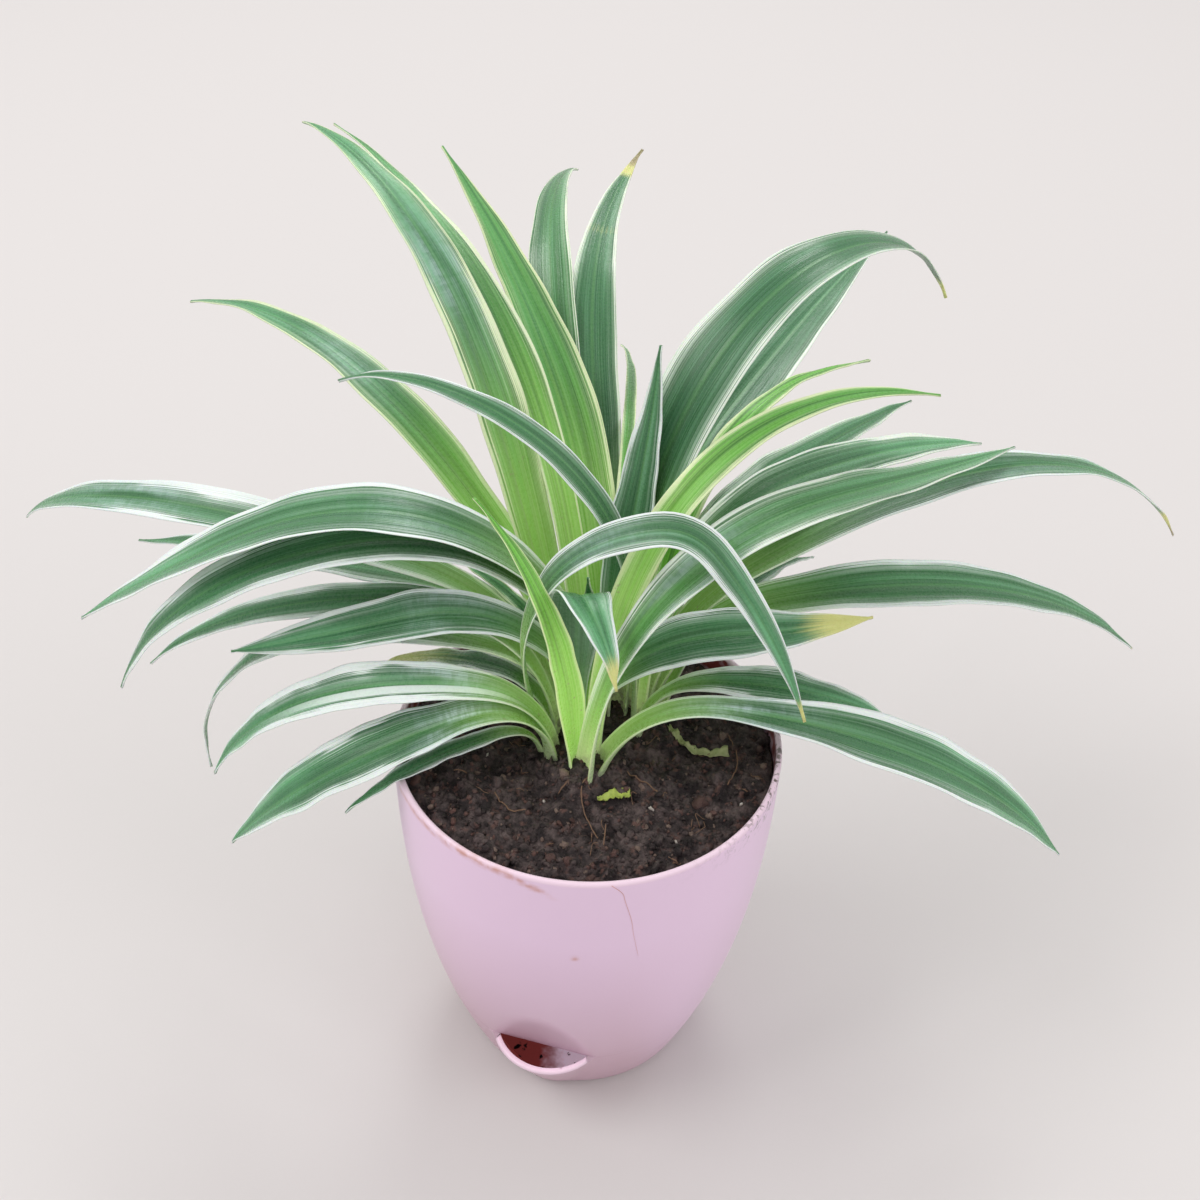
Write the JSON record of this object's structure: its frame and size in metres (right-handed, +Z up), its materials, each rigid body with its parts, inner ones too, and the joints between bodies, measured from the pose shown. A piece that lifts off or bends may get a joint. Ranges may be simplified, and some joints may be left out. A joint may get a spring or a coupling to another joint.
{
  "type": "potted spider plant",
  "caption": "Bushy spider plant with arching striped leaves in a round self-watering pot with a fill mouth low at the front.",
  "frame": {"origin": "centre of the pot's round flat underside, on the surface that it stands on", "axes": "+Z up along the pot's axis; the fill mouth faces -Y; most leaves lean to -X and +X"},
  "size_m": [0.4254, 0.2904, 0.2978],
  "materials": {
    "pot_plastic": "satin",
    "false_bottom_plastic": "satin",
    "soil": "crumbly, damp",
    "rootstock": "matt",
    "leaf": "satin, pale stripes along the edges"
  },
  "bodies": {
    "root": {"pot": "pot_plastic", "false_bottom": "false_bottom_plastic", "soil": "soil", "rootstock": "rootstock", "leaf_01": "leaf", "leaf_02": "leaf", "leaf_03": "leaf", "leaf_04": "leaf", "leaf_05": "leaf", "leaf_06": "leaf", "leaf_07": "leaf", "leaf_08": "leaf", "leaf_09": "leaf", "leaf_10": "leaf", "leaf_11": "leaf", "leaf_12": "leaf", "leaf_13": "leaf", "leaf_14": "leaf", "leaf_15": "leaf", "leaf_16": "leaf", "leaf_17": "leaf", "leaf_18": "leaf", "leaf_19": "leaf", "leaf_20": "leaf", "leaf_21": "leaf", "leaf_22": "leaf", "leaf_23": "leaf", "leaf_24": "leaf", "leaf_25": "leaf", "leaf_26": "leaf", "leaf_27": "leaf", "leaf_28": "leaf", "leaf_29": "leaf", "leaf_30": "leaf", "leaf_31": "leaf", "leaf_32": "leaf", "leaf_33": "leaf", "leaf_34": "leaf", "leaf_35": "leaf", "leaf_36": "leaf", "leaf_37": "leaf", "leaf_38": "leaf"}
  },
  "joints": []
}
